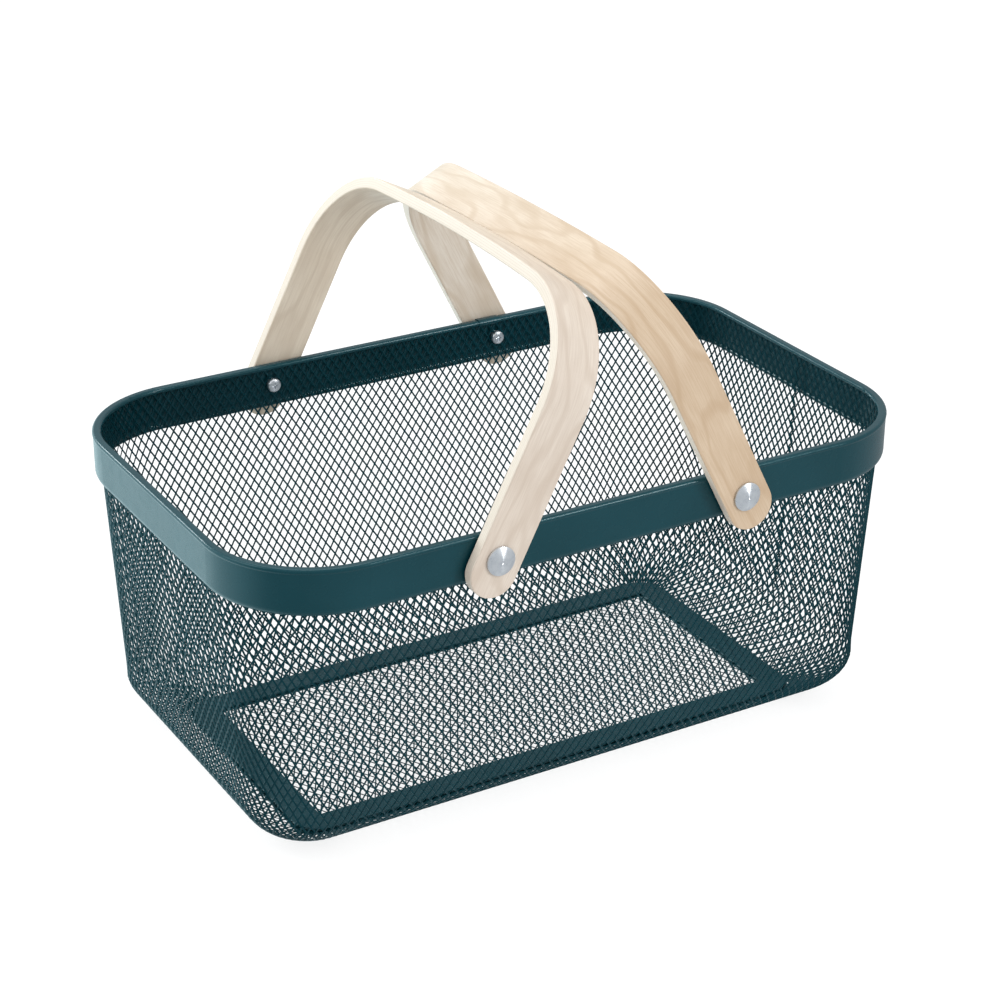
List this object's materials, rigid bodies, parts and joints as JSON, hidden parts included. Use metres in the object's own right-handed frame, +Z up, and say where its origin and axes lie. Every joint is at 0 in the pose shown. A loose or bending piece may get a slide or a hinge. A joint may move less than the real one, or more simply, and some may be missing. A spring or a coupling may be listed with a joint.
{
  "type": "wire produce basket",
  "caption": "Rectangular expanded-metal basket in a painted steel rim, with bent-plywood bail handles that lean together and fold down round its ends.",
  "frame": {"origin": "centre of the flat base frame's underside", "axes": "+Z up, +X along the long side, +Y across the short side towards the back"},
  "size_m": [0.382, 0.2594, 0.2793],
  "materials": {
    "painted_steel": "satin powder coat, dark teal",
    "painted_mesh": "satin powder coat, dark teal",
    "birch_ply": "clear matt lacquer on birch plywood",
    "zinc_plated_steel": "bright zinc plating, turned"
  },
  "bodies": {
    "basket": {"base_strip_frame_lower": "painted_steel", "base_strip_frame_upper": "painted_steel", "floor_mesh": "painted_mesh", "pivot_dome_post_back_left": "zinc_plated_steel", "pivot_dome_post_back_right": "zinc_plated_steel", "pivot_dome_post_front_left": "zinc_plated_steel", "pivot_dome_post_front_right": "zinc_plated_steel", "pivot_screw_back_left": "zinc_plated_steel", "pivot_screw_back_right": "zinc_plated_steel", "pivot_screw_front_left": "zinc_plated_steel", "pivot_screw_front_right": "zinc_plated_steel", "pivot_spacer_washer_back_left": "zinc_plated_steel", "pivot_spacer_washer_back_right": "zinc_plated_steel", "pivot_spacer_washer_front_left": "zinc_plated_steel", "pivot_spacer_washer_front_right": "zinc_plated_steel", "rim_band": "painted_steel", "rim_lap_clip": "painted_steel", "wall_mesh_back": "painted_mesh", "wall_mesh_front": "painted_mesh", "wall_mesh_left_end": "painted_mesh", "wall_mesh_right_end": "painted_mesh"},
    "left_handle": {"handle_left": "birch_ply"},
    "right_handle": {"handle_right": "birch_ply"}
  },
  "joints": [
    {"name": "left_handle_pivot", "type": "hinge", "parent": "basket", "child": "left_handle", "pos_m": [-0.07, 0, 0.158], "axis": [0, -1, 0], "range_deg": [0, 130]},
    {"name": "right_handle_pivot", "type": "hinge", "parent": "basket", "child": "right_handle", "pos_m": [0.07, 0, 0.158], "axis": [0, 1, 0], "range_deg": [0, 130]}
  ]
}
